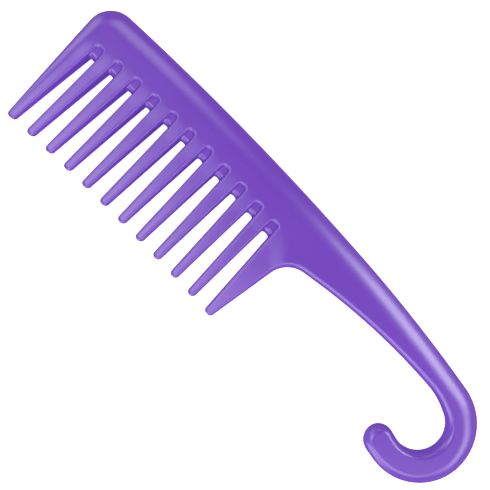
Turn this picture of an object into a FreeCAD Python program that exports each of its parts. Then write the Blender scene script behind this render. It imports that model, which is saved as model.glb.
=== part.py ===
"""A wide tooth comb with a hook handle, lying flat on its back face.

The comb is one moulding. Each node is one region of it, and neighbours meet face to face:
the back, twelve teeth, the thin web in the root of each gap, the handle, the hook and the
hook's free end.

Frame: +X along the comb towards the hook, +Y from the teeth's tips towards the back's outer
edge, +Z up. The origin is at the centre of the box that holds the comb, on its lower side.
The plan is drawn about the parting plane, half way through the thickness.
"""
import FreeCAD, Part
import math
import os

from FreeCAD import Vector

# The whole comb, mm
THICKNESS = 8.0
HALF = THICKNESS / 2
TEETH = 12
GAPS = TEETH - 1
APEX_X = -56.0                  # where the back, the roots and the tips all bow furthest out

# Outer edge of the back, handle and hook: corners of the plan, each with its radius
BACK_CORNERS = [
    (-120.14, 31.16, 11.3),     # heel of the comb
    (-44.85, 34.18, 1279.0),    # bow of the back
    (62.46, 27.81, 671.0),      # bow of the handle
    (119.85, 18.01, 24.9),      # top of the hook
    (120.24, -31.53, 23.6),     # bottom of the hook
    (82.45, -24.71, 6.8),       # hook's free end, outer side
    (82.40, -10.85, 6.0),       # hook's free end, inner side
    (107.15, -17.30, 11.28),    # inside of the hook, lower
    (107.18, 4.69, 11.28),      # inside of the hook, upper
    (93.18, 11.00, 31.8),       # where the handle's lower edge runs into the hook
    (54.32, 13.39, 290.0),      # lower edge of the handle
    (9.14, 6.56, 11.6),         # corner between the handle and the last tooth
]
HEEL_LEAN = 0.0563              # lean of the first tooth's outer side
LAST_LEAN = 0.1569              # lean of the last tooth's outer side

# Teeth and gaps
TIP_APEX_Y = -31.32             # the line that the tips touch
TIP_BOW_R = 1200.0
TIP_CORNER_R = 1.75
ROOT_BOW_R = 545.0              # bow of the gaps' ends
GAP_TOP_APEX_Y = 16.0           # closed end of the gap, full depth
SLOT_TOP_APEX_Y = 10.6          # end of the open slot, below the web
ROOT_CUT_APEX_Y = 14.6          # where the teeth join the back
GAP_TOP_R = 1.3
ROOT_LEVEL_Y = 8.0              # where the pitch at the roots is measured
ROOT_FIRST_X = -107.12
ROOT_PITCH = 10.18
TIP_LEVEL_Y = -29.0             # where the pitch at the tips is measured
TIP_FIRST_X = -109.03
TIP_PITCH = 10.46
GAP_PROFILE = [(-40.0, 3.63), (-6.0, 2.38), (20.0, 1.25)]   # level, half width of a gap
FLANK_BLEND_R = 300.0

# Thickness
TAPER_START_Y = 8.6             # the teeth thin out from here to their tips
TAPER_SLOPE = 0.053
TAPER_BLEND_R = 60.0
TAPER_LENGTH = 60.0
TAPER_END_X = 60.0              # the taper stops in the open space below the handle
WEB_THICKNESS = 6.0
WEB_EDGE_R = 2.2

# Edge rounding
ROLL_R = 3.4                    # outer edge of the back, handle and hook
INNER_R = 2.4                   # inner edge of the handle and hook
HOOK_END_R = 2.8
TOOTH_R = 1.2
HEEL_ROLL_Y = 20.0              # the heel's roll fades down the first tooth from here

# Where the regions meet
HANDLE_X = 15.0                 # back and last tooth to handle
HOOK_X = 85.0                   # handle to hook
HOOK_END_X = 93.0               # hook to its free end
HOOK_CENTRE = (95.88, -2.65)
HOOK_MID_R = 17.5               # middle of the hook's width

FAR = 200.0                     # beyond the comb in any direction
NEAR = 0.2                      # closer than this counts as level with
EDGE_BAND = 2.0                 # how far in from a side still counts as that side
UPRIGHT_NORMAL_Z = 0.5          # an upright face's normal leans less than this


def bowed_y(x, apex_y, radius):
    """Height of an arc that bows upwards around APEX_X."""
    return apex_y - (x - APEX_X) ** 2 / (2 * radius)


def gap_axis_x(gap, y):
    """Centre line of a gap: the teeth fan out a little towards their tips."""
    root_x = ROOT_FIRST_X + ROOT_PITCH * gap
    tip_x = TIP_FIRST_X + TIP_PITCH * gap
    share = (ROOT_LEVEL_Y - y) / (ROOT_LEVEL_Y - TIP_LEVEL_Y)
    return root_x + share * (tip_x - root_x)


def gap_half_width(y):
    """Half width of a gap, from its profile's straight stretches."""
    for (low_y, low_w), (high_y, high_w) in zip(GAP_PROFILE, GAP_PROFILE[1:]):
        if y <= high_y:
            return low_w + (high_w - low_w) * (y - low_y) / (high_y - low_y)
    return GAP_PROFILE[-1][1]


def gap_side(gap, side, y, radius):
    """A corner on one side (-1 left, 1 right) of a gap."""
    return (gap_axis_x(gap, y) + side * gap_half_width(y), y, radius)


def gap_top_y(gap):
    return bowed_y(gap_axis_x(gap, ROOT_LEVEL_Y), GAP_TOP_APEX_Y, ROOT_BOW_R)


def heel_x(y):
    """Outer side of the first tooth."""
    heel = BACK_CORNERS[0]
    return heel[0] + HEEL_LEAN * (heel[1] - y)


def last_x(y):
    """Outer side of the last tooth."""
    root = BACK_CORNERS[-1]
    return root[0] + LAST_LEAN * (y - root[1])


def tip_y(tooth):
    x = TIP_FIRST_X + TIP_PITCH * (tooth - 0.5)
    return bowed_y(x, TIP_APEX_Y, TIP_BOW_R)


def tooth_tip_corners(tooth):
    """The two corners of a tooth's tip, right then left."""
    y = tip_y(tooth)
    right = (last_x(y), y, TIP_CORNER_R)
    left = (heel_x(y), y, TIP_CORNER_R)
    if tooth < TEETH - 1:
        right = gap_side(tooth, -1, y, TIP_CORNER_R)
    if tooth > 0:
        left = gap_side(tooth - 1, 1, y, TIP_CORNER_R)
    return [right, left]


def gap_corners(gap):
    """The corners of a gap, up its right side and down its left side."""
    top = gap_top_y(gap)
    bend = GAP_PROFILE[1][0]
    return [
        gap_side(gap, 1, bend, FLANK_BLEND_R),
        gap_side(gap, 1, top, GAP_TOP_R),
        gap_side(gap, -1, top, GAP_TOP_R),
        gap_side(gap, -1, bend, FLANK_BLEND_R),
    ]


def comb_corners():
    """The whole plan, clockwise from the heel."""
    corners = list(BACK_CORNERS)
    for tooth in reversed(range(TEETH)):
        corners += tooth_tip_corners(tooth)
        if tooth > 0:
            corners += gap_corners(tooth - 1)
    return corners


def rounded_wire(corners):
    """A closed wire of straight lines, with a tangent arc at each corner that has a radius."""
    arcs = []
    for before, corner, after in zip(corners[-1:] + corners, corners, corners[1:] + corners[:1]):
        point = Vector(corner[0], corner[1], 0)
        back = (Vector(before[0], before[1], 0) - point).normalize()
        ahead = (Vector(after[0], after[1], 0) - point).normalize()
        half_angle = back.getAngle(ahead) / 2
        reach = corner[2] / math.tan(half_angle)
        bisector = (back + ahead).normalize()
        middle = point + bisector * (corner[2] / math.sin(half_angle) - corner[2])
        arcs.append((point + back * reach, middle, point + ahead * reach))
    edges = []
    for corner, arc, following in zip(corners, arcs, arcs[1:] + arcs[:1]):
        if corner[2] > 0:
            edges.append(Part.Arc(*arc).toShape())
        edges.append(Part.LineSegment(arc[2], following[0]).toShape())
    return Part.Wire(edges)


def plate(corners, half_thickness):
    """A flat plate with a rounded plan, centred on the parting plane."""
    face = Part.Face(rounded_wire(corners))
    face.translate(Vector(0, 0, -half_thickness))
    return face.extrude(Vector(0, 0, 2 * half_thickness))


def box(low, high):
    size = [b - a for a, b in zip(low, high)]
    return Part.makeBox(*size, Vector(*low))


def bow_disc(apex_y):
    """A disc whose rim is the bowed line across the teeth's roots."""
    centre = Vector(APEX_X, apex_y - ROOT_BOW_R, -THICKNESS)
    return Part.makeCylinder(ROOT_BOW_R, 2 * THICKNESS, centre)


def taper_cutter():
    """What is cut off the upper face so that the teeth thin out towards their tips."""
    turn = math.atan(TAPER_SLOPE) / 2
    reach = TAPER_BLEND_R * math.tan(turn)
    down = Vector(0, -1, -TAPER_SLOPE).normalize()
    bend = Vector(-FAR, TAPER_START_Y, HALF)
    start = bend + Vector(0, reach, 0)
    sagitta = TAPER_BLEND_R * (1 - math.cos(turn))
    middle = start - Vector(0, TAPER_BLEND_R * math.sin(turn), sagitta)
    blend_end = bend + down * reach
    low = bend + down * TAPER_LENGTH
    lift = Vector(0, 0, HALF)
    edges = [
        Part.Arc(start, middle, blend_end).toShape(),
        Part.LineSegment(blend_end, low).toShape(),
        Part.LineSegment(low, low + lift).toShape(),
        Part.LineSegment(low + lift, start + lift).toShape(),
        Part.LineSegment(start + lift, start).toShape(),
    ]
    face = Part.Face(Part.Wire(edges))
    return face.extrude(Vector(FAR + TAPER_END_X, 0, 0))


def on_heel(x, y):
    """True on the outer side of the first tooth and around the heel."""
    return x < heel_x(y) + EDGE_BAND or (x < ROOT_FIRST_X and y > HEEL_ROLL_Y)


def rim_radius(x, y):
    """Rounding of the rim at a point of the plan."""
    if on_heel(x, y):
        fade = (HEEL_ROLL_Y - y) / (HEEL_ROLL_Y - TIP_APEX_Y)
        return ROLL_R + (TOOTH_R - ROLL_R) * min(max(fade, 0.0), 1.0)
    if x < HANDLE_X - EDGE_BAND:
        return ROLL_R if y > GAP_TOP_APEX_Y else TOOTH_R
    if x < HOOK_END_X and y < HOOK_CENTRE[1]:
        return HOOK_END_R
    if x < HOOK_CENTRE[0]:
        return ROLL_R if y > GAP_TOP_APEX_Y else INNER_R
    on_inside = math.hypot(x - HOOK_CENTRE[0], y - HOOK_CENTRE[1]) < HOOK_MID_R
    return INNER_R if on_inside else ROLL_R


def is_side(face):
    """True for the upright faces around the plan."""
    u_first, u_last, v_first, v_last = face.ParameterRange
    normal = face.normalAt((u_first + u_last) / 2, (v_first + v_last) / 2)
    return abs(normal.z) < UPRIGHT_NORMAL_Z


def rim_edges(shape):
    """Numbers of the edges around the upper and lower faces, with a radius for each end."""
    number = {edge.hashCode(): place for place, edge in enumerate(shape.Edges, 1)}
    rim = []
    for face in filter(is_side, shape.Faces):
        for edge in face.Edges:
            first = edge.valueAt(edge.FirstParameter)
            last = edge.valueAt(edge.LastParameter)
            if abs(first.z - last.z) < TOOTH_R:
                radii = (rim_radius(first.x, first.y), rim_radius(last.x, last.y))
                rim.append((number[edge.hashCode()], *radii))
    return rim


def rounded(shape, edges):
    """The shape with its numbered edges rounded, each from one radius to another."""
    document = FreeCAD.newDocument()
    base = document.addObject("Part::Feature", "base")
    base.Shape = shape
    fillet = document.addObject("Part::Fillet", "fillet")
    fillet.Base = base
    fillet.Edges = edges
    document.recompute()
    return fillet.Shape.Solids[0]


def comb_body():
    """The whole comb without the webs in its gaps."""
    body = plate(comb_corners(), HALF)
    cutter = taper_cutter()
    body = body.cut(cutter).cut(cutter.mirror(Vector(0, 0, 0), Vector(0, 0, 1)))
    body = body.Solids[0]
    return rounded(body, rim_edges(body))


def root_web(gap):
    """The thin web across the root of a gap, with its lower edge eased."""
    corners = gap_corners(gap)
    foot = TIP_LEVEL_Y
    corners = corners[1:3] + [gap_side(gap, -1, foot, 0), gap_side(gap, 1, foot, 0)]
    web = plate(corners, WEB_THICKNESS / 2).cut(bow_disc(SLOT_TOP_APEX_Y)).Solids[0]
    middle = web.BoundBox.Center
    foot_y = bowed_y(middle.x, SLOT_TOP_APEX_Y, ROOT_BOW_R)
    lower = [edge for edge in web.Edges if is_foot_edge(edge, foot_y)]
    return web.makeFillet(WEB_EDGE_R, lower)


def is_foot_edge(edge, foot_y):
    """True for the two long edges along the web's lower side."""
    box_of_edge = edge.BoundBox
    return box_of_edge.ZLength < NEAR and box_of_edge.YMax < foot_y + NEAR


def save(node, shape):
    """Write one node, moved from the parting plane to rest on its lower face."""
    shape = shape.copy()
    shape.translate(Vector(0, 0, HALF))
    shape.exportStep(os.path.join("parts", node + ".step"))
    print(node, "valid" if shape.isValid() else "BROKEN", len(shape.Solids), round(shape.Volume, 1))


def main():
    os.makedirs("parts", exist_ok=True)
    body = comb_body()
    comb_end = box((-FAR, -FAR, -THICKNESS), (HANDLE_X, FAR, THICKNESS))
    toothed = body.common(comb_end)
    save("back", toothed.cut(bow_disc(ROOT_CUT_APEX_Y)))
    teeth = toothed.common(bow_disc(ROOT_CUT_APEX_Y)).Solids
    for tooth, solid in enumerate(sorted(teeth, key=lambda piece: piece.BoundBox.XMin), 1):
        save("tooth_%02d" % tooth, solid)
    for gap in range(GAPS):
        save("root_web_%02d" % (gap + 1), root_web(gap))
    save("handle", body.common(box((HANDLE_X, 0, -THICKNESS), (HOOK_X, FAR, THICKNESS))))
    hook_end = box((HANDLE_X, -FAR, -THICKNESS), (HOOK_END_X, HOOK_CENTRE[1], THICKNESS))
    save("hook", body.common(box((HOOK_X, -FAR, -THICKNESS), (FAR, FAR, THICKNESS))).cut(hook_end))
    save("hook_end", body.common(hook_end))


main()
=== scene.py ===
import math

import bpy
import numpy as np
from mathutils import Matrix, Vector
from mathutils.geometry import delaunay_2d_cdt


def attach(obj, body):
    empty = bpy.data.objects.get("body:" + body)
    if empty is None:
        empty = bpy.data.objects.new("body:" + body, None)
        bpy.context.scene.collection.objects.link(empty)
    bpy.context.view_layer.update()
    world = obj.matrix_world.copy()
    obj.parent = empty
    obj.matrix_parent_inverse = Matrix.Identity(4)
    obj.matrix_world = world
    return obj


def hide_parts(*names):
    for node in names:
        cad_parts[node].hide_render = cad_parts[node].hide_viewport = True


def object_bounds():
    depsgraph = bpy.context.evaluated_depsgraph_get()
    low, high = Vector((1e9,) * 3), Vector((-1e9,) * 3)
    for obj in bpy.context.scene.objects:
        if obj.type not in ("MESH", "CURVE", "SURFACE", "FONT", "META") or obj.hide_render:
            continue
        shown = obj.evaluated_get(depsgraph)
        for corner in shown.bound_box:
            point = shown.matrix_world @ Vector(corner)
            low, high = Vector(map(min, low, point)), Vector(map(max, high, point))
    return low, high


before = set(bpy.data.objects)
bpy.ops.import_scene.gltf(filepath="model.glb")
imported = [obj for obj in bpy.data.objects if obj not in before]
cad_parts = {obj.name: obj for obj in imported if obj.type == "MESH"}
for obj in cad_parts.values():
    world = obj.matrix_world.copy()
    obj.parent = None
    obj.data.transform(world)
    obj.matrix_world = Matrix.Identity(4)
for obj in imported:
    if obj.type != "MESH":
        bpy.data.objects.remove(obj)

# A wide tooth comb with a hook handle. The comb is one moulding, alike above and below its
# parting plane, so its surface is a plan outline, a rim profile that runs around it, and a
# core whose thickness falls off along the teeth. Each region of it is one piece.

cad_low, cad_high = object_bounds()
MM = 0.001
MID_Z = (cad_low.z + cad_high.z) / 2
HALF = (cad_high.z - cad_low.z) / 2 / MM

# Plan of the comb, mm, about the centre of its box. Each corner: x, y, radius of its arc, then
# the rim there: its width, its share of the half thickness (what is left is upright wall), and
# whether it is a broad crown that ends in a tighter edge (1) or a plain rounding (0).
HEEL = (-120.14, 31.16, 11.3, 8.8, 1.0, 1.0)
LAST_ROOT = (9.14, 6.56, 11.6, 2.4, 0.75, 0.0)
BACK_CORNERS = [
    HEEL,
    (-44.85, 34.18, 1279.0, 11.0, 1.0, 1.0),      # bow of the back
    (62.46, 27.81, 671.0, 9.2, 1.0, 1.0),         # bow of the handle
    (119.85, 18.01, 24.9, 7.6, 1.0, 1.0),         # top of the hook
    (120.24, -31.53, 23.6, 4.6, 0.9, 0.4),        # bottom of the hook
    (82.45, -24.71, 6.8, 3.2, 0.8, 0.0),          # hook's free end, outer side
    (82.40, -10.85, 6.0, 3.2, 0.8, 0.0),          # hook's free end, inner side
    (107.15, -17.30, 11.28, 2.8, 0.75, 0.0),      # inside of the hook, lower
    (107.18, 4.69, 11.28, 2.7, 0.75, 0.0),        # inside of the hook, upper
    (93.18, 11.00, 31.8, 2.5, 0.75, 0.0),         # where the handle's lower edge runs into the hook
    (54.32, 13.39, 290.0, 2.4, 0.75, 0.0),        # lower edge of the handle
    LAST_ROOT,
]
TEETH = 12
GAPS = TEETH - 1
APEX_X = -56.0                  # where the back, the roots and the tips all bow furthest out
HEEL_LEAN = 0.0563              # lean of the first tooth's outer side
LAST_LEAN = 0.1569              # lean of the last tooth's outer side
TIP_APEX_Y = -31.32
TIP_BOW_R = 1200.0
TIP_CORNER = (1.75, 1.6, 0.6, 0.0)     # radius, then the rim as above
ROOT_BOW_R = 545.0
GAP_TOP_APEX_Y = 16.0
SLOT_TOP_APEX_Y = 10.6
ROOT_CUT_APEX_Y = 14.6
GAP_TOP = (1.3, 1.6, 0.45, 0.0)
FLANK = (300.0, 1.7, 0.45, 0.0)
ROOT_LEVEL_Y = 8.0
ROOT_FIRST_X = -107.12
ROOT_PITCH = 10.18
TIP_LEVEL_Y = -29.0
TIP_FIRST_X = -109.03
TIP_PITCH = 10.46
GAP_PROFILE = [(-40.0, 3.63), (-6.0, 2.38), (20.0, 1.25)]   # level, half width of a gap

# Thickness of the core: how far below the roots, and how much thinner each side is there
TAPER = [(0.0, 0.0), (4.0, 0.25), (9.0, 0.62), (46.0, 2.08)]
TAPER_BEYOND = 0.04             # slope past the last of these
TAPER_LEVELS = (-6, 60, 661)    # first and last level at which it is smoothed, and their number
TAPER_WINDOW = 61               # levels that the smoothing takes in
ROOTS_END_X = -2.0              # past this the line of the roots falls away, clear of the handle
ROOTS_FALL = 0.06

# Webs, mm
WEB_HALF = 3.0                  # half thickness
WEB_EDGE = 2.4                  # length of the rounding at its foot
WEB_FULLNESS = 0.9              # power that fills that rounding out
WEB_ARCH = 1.3                  # how much lower the web's foot is at the walls
WEB_ARCH_KEPT = 0.4             # share of the arch that is left where the rounding ends
WEB_ARCH_POWER = 2.6            # how square the arch is
WEB_COLUMNS = 16
WEB_BURY = 0.12                 # how far a web runs into the walls beside it

# Where the regions meet, as in the CAD
HANDLE_X = 15.0
HOOK_X = 85.0
HOOK_END_X = 93.0
HEEL_CUT_X = -119.0
FLANK_CUT_Y = 10.0              # a level near the cuts across the teeth

# Places near the ends of the cuts and near two turns of the outline, clockwise from the back
SPINE_CUT = (HANDLE_X, 31.0)
HOOK_CUT = (HOOK_X, 24.0)
HOOK_TURN = (119.0, -10.0)
END_OUTER = (HOOK_END_X, -26.0)
END_TURN = (80.0, -18.0)
END_INNER = (HOOK_END_X, -13.5)
INNER_CUT = (HOOK_X, 12.0)
ROOT_CUT = (HANDLE_X, 7.3)
JOINT = (HANDLE_X - 2.5, 11.5)  # where the back, the handle and the last tooth meet

# Mesh
STEP = 0.8                      # along the rim
ARC_STEP = math.radians(9)
RIM_RINGS = 14
GRID = 2.5                      # between points across the core
GRID_CLEARANCE = 0.35           # share of GRID kept clear beside a region's edge
FILL_TOLERANCE = 1e-7
SLOPE_STEP = 0.05               # over which the core's slope is measured
PARTING_RIDGE = 0.035           # how far the mould line stands out
PARTING_HALF = 0.09             # half its height
CROWN_LEAN = math.radians(28)   # how far a crown leans before its edge turns down
WEB_SHARP = math.radians(50)

# Plastic: two tones, the range of roughness, and the scale and detail of each unevenness
DARK_TONE = (0.184, 0.055, 0.560, 1)
LIGHT_TONE = (0.196, 0.060, 0.595, 1)
TONE_RANGE = (0.3, 0.7)
ROUGHNESS_RANGE = (0.26, 0.31)
TONE_NOISE = (22.0, 3.0)
HAZE_NOISE = (60.0, 4.0)
GRAIN_NOISE = (900.0, 2.0)
GRAIN_STRENGTH = 0.012
GRAIN_DEPTH = 0.0002
REFRACTION = 1.55

# Camera, mm: where it is over the comb and how far above the parting plane
CAMERA_X = -7.67
CAMERA_Y = -1.30
CAMERA_HEIGHT = 250.0
CAMERA_TURN = math.radians(45)
LENS = 44.1
SENSOR = 36.0

# Lights: name, azimuth and lean in degrees, size in m, power in W
LIGHT_DISTANCE = 0.9
SOFT_BOXES = [
    ("right", 52, 44, (0.50, 0.32), 2.6),
    ("far_right", 8, 50, (0.40, 0.30), 1.2),
    ("left", 212, 33, (0.40, 0.40), 1.2),
    ("side", 180, 62, (0.50, 0.35), 1.0),
    ("low_left", 285, 50, (0.45, 0.35), 1.3),
    ("low_right", 325, 40, (0.40, 0.30), 1.1),
    ("edge", 275, 70, (0.80, 0.25), 1.8),
    ("high", 132, 42, (0.45, 0.30), 0.8),
    ("front", 255, 17, (0.45, 0.20), 0.9),
]
WALL_GLOW = 0.5
WALL_LEVELS = (0.02, 0.12)      # height of the wall's full glow, as a share from the horizon up
WALL_TOP = 0.45                 # where its glow has faded out
FLOOR_REACH = 3.0


def bowed_y(x, apex_y, radius):
    return apex_y - (x - APEX_X) ** 2 / (2 * radius)


def gap_axis_x(gap, y):
    root_x = ROOT_FIRST_X + ROOT_PITCH * gap
    tip_x = TIP_FIRST_X + TIP_PITCH * gap
    share = (ROOT_LEVEL_Y - y) / (ROOT_LEVEL_Y - TIP_LEVEL_Y)
    return root_x + share * (tip_x - root_x)


def gap_half_width(y):
    levels, widths = zip(*GAP_PROFILE)
    return float(np.interp(y, levels, widths))


def gap_side(gap, side, y, rim):
    return (gap_axis_x(gap, y) + side * gap_half_width(y), y, *rim)


def gap_top_y(gap):
    return bowed_y(gap_axis_x(gap, ROOT_LEVEL_Y), GAP_TOP_APEX_Y, ROOT_BOW_R)


def heel_x(y):
    return HEEL[0] + HEEL_LEAN * (HEEL[1] - y)


def last_x(y):
    return LAST_ROOT[0] + LAST_LEAN * (y - LAST_ROOT[1])


def tip_y(tooth):
    return bowed_y(TIP_FIRST_X + TIP_PITCH * (tooth - 0.5), TIP_APEX_Y, TIP_BOW_R)


def comb_corners():
    """The plan, clockwise from the heel, and the number of each gap's first corner."""
    corners = list(BACK_CORNERS)
    bend = GAP_PROFILE[1][0]
    for tooth in reversed(range(TEETH)):
        y = tip_y(tooth)
        right = (last_x(y), y, *TIP_CORNER)
        left = (heel_x(y), y, *TIP_CORNER)
        if tooth < TEETH - 1:
            right = gap_side(tooth, -1, y, TIP_CORNER)
        if tooth > 0:
            left = gap_side(tooth - 1, 1, y, TIP_CORNER)
        corners += [right, left]
        if tooth > 0:
            top = gap_top_y(tooth - 1)
            corners.append(gap_side(tooth - 1, 1, bend, FLANK))
            corners.append(gap_side(tooth - 1, 1, top, GAP_TOP))
            corners.append(gap_side(tooth - 1, -1, top, GAP_TOP))
            corners.append(gap_side(tooth - 1, -1, bend, FLANK))
    return np.array(corners)


def trace(corners):
    """Points around the rounded plan: place, outward direction, and the three figures of the rim."""
    count = len(corners)
    points, outward, rims, anchors = [], [], [], []
    for i in range(count):
        before, here, after = corners[i - 1, :2], corners[i, :2], corners[(i + 1) % count, :2]
        back = (before - here) / np.linalg.norm(before - here)
        ahead = (after - here) / np.linalg.norm(after - here)
        half = math.acos(float(np.clip(back @ ahead, -1, 1))) / 2
        radius = corners[i, 2]
        bisector = (back + ahead) / np.linalg.norm(back + ahead)
        centre = here + bisector * radius / math.sin(half)
        turn = math.pi - 2 * half
        convex = back[0] * ahead[1] - back[1] * ahead[0] > 0
        start = here + back * radius / math.tan(half)
        steps = max(2, math.ceil(turn / ARC_STEP), math.ceil(turn * radius / STEP))
        steps += steps % 2
        sign = -1 if convex else 1
        spoke = start - centre
        anchors.append(len(points) + steps // 2)
        for k in range(steps + 1):
            angle = sign * turn * k / steps
            c, s = math.cos(angle), math.sin(angle)
            arm = np.array([c * spoke[0] - s * spoke[1], s * spoke[0] + c * spoke[1]])
            points.append(centre + arm)
            outward.append(arm / radius * (1 if convex else -1))
        following = corners[(i + 1) % count]
        after_next = corners[(i + 2) % count, :2]
        arm_next = (after_next - following[:2]) / np.linalg.norm(after_next - following[:2])
        half_next = math.acos(float(np.clip(-ahead @ arm_next, -1, 1))) / 2
        end = following[:2] - ahead * following[2] / math.tan(half_next)
        leaving = points[-1]
        length = np.linalg.norm(end - leaving)
        pieces = max(1, math.ceil(length / STEP))
        for k in range(1, pieces):
            points.append(leaving + (end - leaving) * k / pieces)
            outward.append(outward[-1])
    points, outward = np.array(points), np.array(outward)
    run = np.linalg.norm(np.roll(points, -1, 0) - points, axis=1)
    along = np.concatenate([[0.0], np.cumsum(run)])
    total = along[-1]
    at = along[anchors]
    at = np.concatenate([at[-1:] - total, at, at[:1] + total])
    for column in (3, 4, 5):
        values = corners[:, column]
        values = np.concatenate([values[-1:], values, values[:1]])
        rims.append(np.interp(along[:-1], at, values))
    return points, outward, np.array(rims).T


def core(points):
    """Half thickness of the core at points of the plan."""
    x, y = points[..., 0], points[..., 1]
    roots = bowed_y(x, GAP_TOP_APEX_Y, ROOT_BOW_R)
    roots = roots - ROOTS_FALL * np.clip(x - ROOTS_END_X, 0, None) ** 2
    depth, loss = zip(*TAPER)
    fine = np.linspace(*TAPER_LEVELS)
    rough = np.interp(fine, depth, loss)
    rough = rough + np.clip(fine - depth[-1], 0, None) * TAPER_BEYOND
    kernel = np.hanning(TAPER_WINDOW)
    padded = np.pad(rough, TAPER_WINDOW // 2, mode="edge")
    smooth = np.convolve(padded, kernel / kernel.sum(), "valid")
    return HALF - np.interp(roots - y, fine, smooth)


def core_normals(points):
    """Unit normals of the core's surface at points of the plan."""
    moves = ((SLOPE_STEP, 0), (0, SLOPE_STEP))
    rise = [core(points + move) - core(points - move) for move in moves]
    normals = np.stack([-rise[0], -rise[1], np.full(len(points), 2 * SLOPE_STEP)], -1)
    return normals / np.linalg.norm(normals, axis=1, keepdims=True)


def rim_profile(width, tall, crown):
    """For each ring of the rim, how far in from the plan it is, and its share of the height."""
    turn = np.linspace(0, math.pi / 2, RIM_RINGS + 1)
    plain_in = width * (1 - np.cos(turn))
    plain_up = np.sin(turn)
    # A crown is a wide arc, which leans out to CROWN_LEAN, and a tight arc down to the wall
    height = HALF * tall
    sine, cosine = math.sin(CROWN_LEAN), math.cos(CROWN_LEAN)
    spread = sine * cosine - (1 - sine) * (1 - cosine)
    wide = (width * cosine - height * (1 - sine)) / spread
    tight = (height * sine - width * (1 - cosine)) / spread
    steep = RIM_RINGS // 2
    lean = np.concatenate([np.linspace(math.pi / 2, CROWN_LEAN, steep + 1),
                           np.linspace(CROWN_LEAN, 0, RIM_RINGS - steep + 1)[1:]])
    on_tight = lean >= CROWN_LEAN
    crown_in = np.where(on_tight, tight * (1 - np.sin(lean)),
                        tight * (1 - sine) + wide * (sine - np.sin(lean)))
    crown_up = np.where(on_tight, tight * np.cos(lean),
                        tight * cosine + wide * (np.cos(lean) - cosine)) / height
    inward = (1 - crown) * plain_in + crown * crown_in
    up = (1 - crown) * plain_up + crown * crown_up
    return inward, 1 - tall * (1 - up)


class Shell:
    """The comb's upper surface: points, and faces grouped by region."""

    def __init__(self):
        self.plan, outward, rims = trace(comb_corners())
        self.count = len(self.plan)
        width, tall, crown = rims.T[:, :, None]
        inward, up = rim_profile(width, tall, crown)
        rings = self.plan[:, None, :] - outward[:, None, :] * inward[..., None]
        height = core(rings) * up
        ridge = self.plan + outward * PARTING_RIDGE
        self.rows = RIM_RINGS + 3   # the ridge, the plan, and the rings from the wall inwards
        grid = np.zeros((self.count, self.rows, 3))
        grid[:, 0, :2] = ridge
        grid[:, 1, :2] = self.plan
        grid[:, 1, 2] = PARTING_HALF
        grid[:, 2:, :2] = rings
        grid[:, 2:, 2] = np.maximum(height, 2 * PARTING_HALF)
        self.points = [tuple(p) for p in grid.reshape(-1, 3)]
        self.faces = {}

    def rim_id(self, sample, row):
        return (sample % self.count) * self.rows + row

    def inner_id(self, sample):
        return self.rim_id(sample, self.rows - 1)

    def nearest(self, x, y, low, high):
        """The sample between two others that is nearest to a place."""
        span = np.arange(low, high) % self.count
        gap = np.hypot(*(self.plan[span] - (x, y)).T)
        return int(low + gap.argmin())

    def add_point(self, x, y):
        self.points.append((x, y, float(core(np.array([x, y])))))
        return len(self.points) - 1

    def line(self, first, last):
        """Numbers of new points between two points of the core."""
        a, b = np.array(self.points[first][:2]), np.array(self.points[last][:2])
        steps = max(1, math.ceil(np.linalg.norm(b - a) / STEP))
        return [self.add_point(*(a + (b - a) * k / steps)) for k in range(1, steps)]

    def region(self, name, spans, loop):
        """One region: its stretches of rim, and the core within a closed loop."""
        faces = self.faces.setdefault(name, [])
        for low, high in spans:
            for sample in range(low, high):
                for row in range(self.rows - 1):
                    faces.append((self.rim_id(sample, row), self.rim_id(sample, row + 1),
                                  self.rim_id(sample + 1, row + 1), self.rim_id(sample + 1, row)))
        faces += self.fill(loop)

    def fill(self, loop):
        """Triangles across the core inside a loop of point numbers."""
        flat = [Vector(self.points[i][:2]) for i in loop]
        ring = np.array([p[:] for p in flat])
        low, high = ring.min(0), ring.max(0)
        ids = list(loop)
        for x in np.arange(low[0] + GRID / 2, high[0], GRID):
            for y in np.arange(low[1] + GRID / 2, high[1], GRID):
                clearance = np.hypot(*(ring - (x, y)).T).min()
                if inside(ring, x, y) and clearance > GRID * GRID_CLEARANCE:
                    ids.append(self.add_point(x, y))
                    flat.append(Vector((x, y)))
        edge = list(range(len(loop)))
        triangles, origin = delaunay_2d_cdt(flat, [], [edge], 1, FILL_TOLERANCE)[2:4]
        named = [ids[o[0]] for o in origin]
        return [tuple(named[i] for i in triangle) for triangle in triangles]


def inside(ring, x, y):
    """True if a place is within a closed ring."""
    x1, y1 = ring[:, 0], ring[:, 1]
    x2, y2 = np.roll(x1, -1), np.roll(y1, -1)
    crosses = (y1 > y) != (y2 > y)
    with np.errstate(divide="ignore", invalid="ignore"):
        at = x1 + (y - y1) / (y2 - y1) * (x2 - x1)
    return bool(np.count_nonzero(crosses & (x < at)) % 2)


def boundary_level(x):
    return bowed_y(x, ROOT_CUT_APEX_Y, ROOT_BOW_R)


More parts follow.
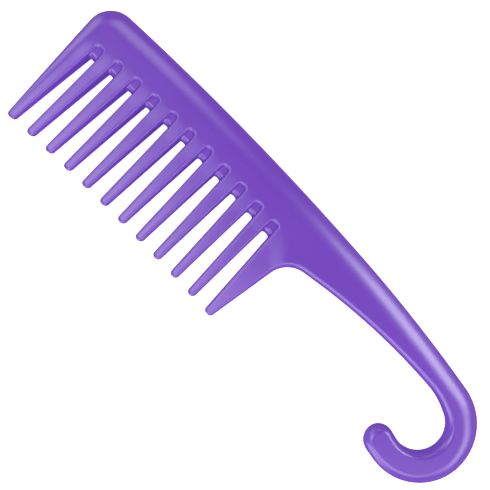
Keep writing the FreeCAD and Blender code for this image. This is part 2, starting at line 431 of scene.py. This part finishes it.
def build_shell():
    """The comb's upper surface, cut into the same regions as the CAD nodes."""
    shell = Shell()
    whole = shell.count
    middle = whole // 2
    heel_level = boundary_level(HEEL_CUT_X)
    heel_cut = shell.nearest(heel_x(heel_level), heel_level, middle, whole)
    hook_turn = shell.nearest(*HOOK_TURN, 0, middle)
    spine_cut = shell.nearest(*SPINE_CUT, 0, hook_turn)
    hook_cut = shell.nearest(*HOOK_CUT, 0, hook_turn)
    end_outer = shell.nearest(*END_OUTER, hook_turn, middle)
    end_turn = shell.nearest(*END_TURN, hook_turn, middle)
    end_inner = shell.nearest(*END_INNER, end_turn, middle)
    inner_cut = shell.nearest(*INNER_CUT, end_inner, middle)
    root_cut = shell.nearest(*ROOT_CUT, inner_cut, middle)
    flanks = []
    for gap in range(GAPS):
        y = boundary_level(gap_axis_x(gap, FLANK_CUT_Y))
        x = gap_axis_x(gap, y)
        reach = gap_half_width(y)
        left = shell.nearest(x - reach, y, root_cut, whole)
        right = shell.nearest(x + reach, y, root_cut, whole)
        flanks.append((left, right))

    joint = shell.add_point(*JOINT)
    inner = shell.inner_id
    lines = {}

    def line(first, last):
        if (last, first) in lines:
            return lines[(last, first)][::-1]
        if (first, last) not in lines:
            lines[(first, last)] = shell.line(first, last)
        return lines[(first, last)]

    def rim(low, high):
        return [inner(sample) for sample in range(low, high + 1)]

    for tooth in range(TEETH):
        start = flanks[tooth][0] if tooth < GAPS else root_cut
        end = flanks[tooth - 1][1] if tooth > 0 else heel_cut
        loop = rim(start, end)
        if tooth < GAPS:
            loop += line(inner(end), inner(start))
        else:
            loop += line(inner(end), joint) + [joint] + line(joint, inner(start))
        shell.region("tooth_%02d" % (tooth + 1), [(start, end)], loop)

    loop = rim(heel_cut, whole + spine_cut) + line(inner(spine_cut), joint) + [joint]
    spans = [(heel_cut, whole + spine_cut)]
    before = joint
    for gap in reversed(range(GAPS)):
        left, right = flanks[gap]
        loop += line(before, inner(right)) + rim(right, left)
        spans.append((right, left))
        before = inner(left)
    loop += line(before, inner(heel_cut))
    shell.region("back", spans, loop)

    loop = rim(spine_cut, hook_cut) + line(inner(hook_cut), inner(inner_cut))
    loop += rim(inner_cut, root_cut) + line(inner(root_cut), joint) + [joint]
    loop += line(joint, inner(spine_cut))
    shell.region("handle", [(spine_cut, hook_cut), (inner_cut, root_cut)], loop)

    loop = rim(hook_cut, end_outer) + line(inner(end_outer), inner(end_inner))
    loop += rim(end_inner, inner_cut) + line(inner(inner_cut), inner(hook_cut))
    shell.region("hook", [(hook_cut, end_outer), (end_inner, inner_cut)], loop)

    loop = rim(end_outer, end_inner) + line(inner(end_inner), inner(end_outer))
    shell.region("hook_end", [(end_outer, end_inner)], loop)
    return shell


def vertex_normals(points, triangles):
    """Area-weighted normal at each point."""
    a, b, c = (points[triangles[:, k]] for k in range(3))
    area = np.cross(b - a, c - a)
    normals = np.zeros_like(points)
    for k in range(3):
        np.add.at(normals, triangles[:, k], area)
    length = np.linalg.norm(normals, axis=1, keepdims=True)
    return normals / np.where(length > 0, length, 1)


def renumber(faces):
    """The points that faces use, and the faces with those points numbered from 0."""
    used = sorted({i for face in faces for i in face})
    local = {i: k for k, i in enumerate(used)}
    return used, [tuple(local[i] for i in face) for face in faces]


def make_mesh(name, points, faces, normals=None):
    """A new object from points in mm about the parting plane, and its faces."""
    mesh = bpy.data.meshes.new(name + "_surface")
    places = np.array(points, float) * MM
    places[:, 0] += (cad_low.x + cad_high.x) / 2
    places[:, 1] += (cad_low.y + cad_high.y) / 2
    places[:, 2] += MID_Z
    mesh.from_pydata(places.tolist(), [], faces)
    mesh.shade_smooth()
    if normals is not None:
        mesh.normals_split_custom_set(normals)
    mesh.update()
    piece = bpy.data.objects.new(name + "_surface", mesh)
    bpy.context.scene.collection.objects.link(piece)
    return piece


def comb_pieces(shell):
    """One closed piece for each region: upper face, its mirror image below, and its cut ends."""
    top = np.array(shell.points)
    count = len(top)
    points = np.concatenate([top, top * (1, 1, -1)])
    on_ridge = np.abs(top[:, 2]) < 1e-9
    below = np.where(on_ridge, np.arange(count), np.arange(count) + count)
    groups = {}
    for name, faces in shell.faces.items():
        lower = [tuple(int(below[i]) for i in reversed(face)) for face in faces]
        groups[name] = [tuple(face) for face in faces] + lower
    triangles = []
    for faces in groups.values():
        for face in faces:
            for k in range(1, len(face) - 1):
                triangles.append((face[0], face[k], face[k + 1]))
    normals = vertex_normals(points, np.array(triangles))
    numbers = np.arange(count)
    on_core = (numbers >= shell.count * shell.rows) | (numbers % shell.rows == shell.rows - 1)
    flat = numbers[on_core]
    normals[flat] = core_normals(top[flat, :2])
    normals[flat + count] = normals[flat] * (1, 1, -1)
    pieces = {}
    for name, faces in groups.items():
        once = {}
        for face in shell.faces[name]:
            for i, j in zip(face, face[1:] + face[:1]):
                if once.pop((j, i), None) is None:
                    once[(i, j)] = True
        caps = []
        for i, j in once:
            if on_ridge[i] and on_ridge[j]:
                continue
            ends = [j, i, int(below[i]), int(below[j])]
            caps.append(tuple(dict.fromkeys(ends)))
        loops = []
        for face in faces:
            loops += [normals[i].tolist() for i in face]
        for face in caps:
            a, b, c = (points[face[k]] for k in (0, 1, 2))
            across = np.cross(b - a, c - b)
            across = across / np.linalg.norm(across)
            loops += [across.tolist()] * len(face)
        used, renumbered = renumber(faces + caps)
        pieces[name] = make_mesh(name, points[used], renumbered, loops)
    return pieces


def web_rows(gap):
    """Rows of a web from foot to closed end (level, arch, half thickness), and where it turns."""
    foot = bowed_y(gap_axis_x(gap, SLOT_TOP_APEX_Y), SLOT_TOP_APEX_Y, ROOT_BOW_R)
    top = gap_top_y(gap)
    radius = GAP_TOP[0]
    rows = []
    for theta in np.linspace(0, math.pi / 2, 11):
        bend = 1 - math.cos(theta)
        half = WEB_HALF * math.sin(theta) ** WEB_FULLNESS
        rows.append((foot + WEB_EDGE * bend, 1 - (1 - WEB_ARCH_KEPT) * bend, half))
    turn = top - radius
    for share in np.linspace(0, 1, 5)[1:]:
        y = foot + WEB_EDGE + share * (turn - foot - WEB_EDGE)
        rows.append((y, WEB_ARCH_KEPT * (1 - share), WEB_HALF))
    for theta in np.linspace(0, math.pi / 2, 7)[1:]:
        rows.append((turn + (radius + WEB_BURY) * math.sin(theta), 0.0, WEB_HALF))
    return rows, turn


def web_piece(gap):
    """The web across the root of a gap, sunk below the faces and rounded along its arched foot."""
    rows, turn = web_rows(gap)
    radius = GAP_TOP[0]
    points = []
    for level, arch, half in rows:
        reach = gap_half_width(min(level, turn)) + WEB_BURY
        if level > turn:
            lift = min((level - turn) / (radius + WEB_BURY), 1.0)
            reach += (radius + WEB_BURY) * (math.sqrt(1 - lift ** 2) - 1)
        for share in np.linspace(-1, 1, WEB_COLUMNS + 1):
            drop = 1 - (1 - abs(share) ** WEB_ARCH_POWER) ** (1 / WEB_ARCH_POWER)
            y = level - arch * WEB_ARCH * drop
            points.append((gap_axis_x(gap, y) + share * reach, y, half))
    width = WEB_COLUMNS + 1
    count = len(points)
    points = np.array(points)
    points = np.concatenate([points, points * (1, 1, -1)])

    def under(i):
        return i if i < width else i + count

    faces = []
    for row in range(len(rows) - 1):
        for column in range(WEB_COLUMNS):
            a = row * width + column
            b = a + width
            faces.append((a, a + 1, b + 1, b))
            faces.append((under(b), under(b + 1), under(a + 1), under(a)))
        left = row * width
        right = left + WEB_COLUMNS
        for i, j in ((left, left + width), (right + width, right)):
            faces.append(tuple(dict.fromkeys((i, j, under(j), under(i)))))
    last = (len(rows) - 1) * width
    for column in range(WEB_COLUMNS):
        a = last + column
        faces.append((a, a + 1, under(a + 1), under(a)))
    used, renumbered = renumber(faces)
    piece = make_mesh("root_web_%02d" % (gap + 1), points[used], renumbered)
    piece.data.set_sharp_from_angle(angle=WEB_SHARP)
    return piece


def add_noise(tree, place, figures):
    """A noise texture over the object, from its scale and detail."""
    noise = tree.nodes.new("ShaderNodeTexNoise")
    noise.inputs["Scale"].default_value, noise.inputs["Detail"].default_value = figures
    tree.links.new(place.outputs["Object"], noise.inputs["Vector"])
    return noise.outputs["Fac"]


def plastic():
    """Satin moulded plastic, purple, with a faint unevenness of tone and surface."""
    material = bpy.data.materials.new("satin_plastic")
    material.use_nodes = True
    tree = material.node_tree
    nodes, links = tree.nodes, tree.links
    shader = nodes["Principled BSDF"]
    shader.inputs["IOR"].default_value = REFRACTION
    shader.inputs["Specular IOR Level"].default_value = 1.0
    place = nodes.new("ShaderNodeTexCoord")
    ramp = nodes.new("ShaderNodeValToRGB")
    for element, tone, position in zip(ramp.color_ramp.elements, (DARK_TONE, LIGHT_TONE), TONE_RANGE):
        element.color = tone
        element.position = position
    links.new(add_noise(tree, place, TONE_NOISE), ramp.inputs["Fac"])
    links.new(ramp.outputs["Color"], shader.inputs["Base Color"])
    spread = nodes.new("ShaderNodeMapRange")
    spread.inputs["To Min"].default_value, spread.inputs["To Max"].default_value = ROUGHNESS_RANGE
    links.new(add_noise(tree, place, HAZE_NOISE), spread.inputs["Value"])
    links.new(spread.outputs["Result"], shader.inputs["Roughness"])
    bump = nodes.new("ShaderNodeBump")
    bump.inputs["Strength"].default_value = GRAIN_STRENGTH
    bump.inputs["Distance"].default_value = GRAIN_DEPTH
    links.new(add_noise(tree, place, GRAIN_NOISE), bump.inputs["Height"])
    links.new(bump.outputs["Normal"], shader.inputs["Normal"])
    return material


def add_camera():
    """Square on above the comb, turned so that it lies from upper left to lower right."""
    data = bpy.data.cameras.new("camera")
    data.sensor_width = SENSOR
    data.lens = LENS
    camera = bpy.data.objects.new("camera", data)
    bpy.context.scene.collection.objects.link(camera)
    camera.location = (CAMERA_X * MM, CAMERA_Y * MM, MID_Z + CAMERA_HEIGHT * MM)
    camera.rotation_euler = (0, 0, CAMERA_TURN)
    bpy.context.scene.camera = camera


def add_soft_box(name, azimuth, lean, size, power):
    """A soft light that faces the comb: its azimuth from +X and its lean from overhead, degrees."""
    data = bpy.data.lights.new(name, "AREA")
    data.shape = "RECTANGLE"
    data.size, data.size_y = size
    data.energy = power
    light = bpy.data.objects.new(name, data)
    bpy.context.scene.collection.objects.link(light)
    around, down = math.radians(azimuth), math.radians(lean)
    side = math.sin(down)
    away = Vector((side * math.cos(around), side * math.sin(around), math.cos(down)))
    light.location = away * LIGHT_DISTANCE + Vector((0, 0, MID_Z))
    light.rotation_euler = away.to_track_quat("Z", "Y").to_euler()


def add_floor():
    """A white floor under the comb, which the plastic doesn't mirror."""
    mesh = bpy.data.meshes.new("floor")
    signs = ((-1, -1), (1, -1), (1, 1), (-1, 1))
    places = [(FLOOR_REACH * x, FLOOR_REACH * y, cad_low.z) for x, y in signs]
    mesh.from_pydata(places, [], [(0, 1, 2, 3)])
    floor = bpy.data.objects.new("floor", mesh)
    bpy.context.scene.collection.objects.link(floor)
    material = bpy.data.materials.new("floor")
    material.use_nodes = True
    shader = material.node_tree.nodes["Principled BSDF"]
    shader.inputs["Base Color"].default_value = (0.9, 0.9, 0.9, 1)
    shader.inputs["Roughness"].default_value = 0.9
    shader.inputs["Emission Color"].default_value = (1, 1, 1, 1)
    shader.inputs["Emission Strength"].default_value = 1.0
    mesh.materials.append(material)
    floor.visible_glossy = False


def add_world():
    """A pale wall all round just above the horizon, dark below it and overhead."""
    world = bpy.data.worlds.new("studio")
    world.use_nodes = True
    nodes, links = world.node_tree.nodes, world.node_tree.links
    direction = nodes.new("ShaderNodeTexCoord")
    split = nodes.new("ShaderNodeSeparateXYZ")
    fade = nodes.new("ShaderNodeValToRGB")
    fade.color_ramp.elements[0].color = (0, 0, 0, 1)
    fade.color_ramp.elements[1].color = (0, 0, 0, 1)
    fade.color_ramp.elements[1].position = WALL_TOP
    for level in WALL_LEVELS:
        fade.color_ramp.elements.new(level).color = (1, 1, 1, 1)
    links.new(direction.outputs["Generated"], split.inputs["Vector"])
    links.new(split.outputs["Z"], fade.inputs["Fac"])
    links.new(fade.outputs["Color"], nodes["Background"].inputs["Color"])
    nodes["Background"].inputs["Strength"].default_value = WALL_GLOW
    bpy.context.scene.world = world
    bpy.context.scene.view_settings.view_transform = "Standard"


add_camera()
add_world()
add_floor()
for soft_box in SOFT_BOXES:
    add_soft_box(*soft_box)

pieces = comb_pieces(build_shell())
for gap in range(GAPS):
    pieces["root_web_%02d" % (gap + 1)] = web_piece(gap)
finish = plastic()
for node, piece in pieces.items():
    piece.data.materials.append(finish)
    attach(piece, "root")
    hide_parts(node)
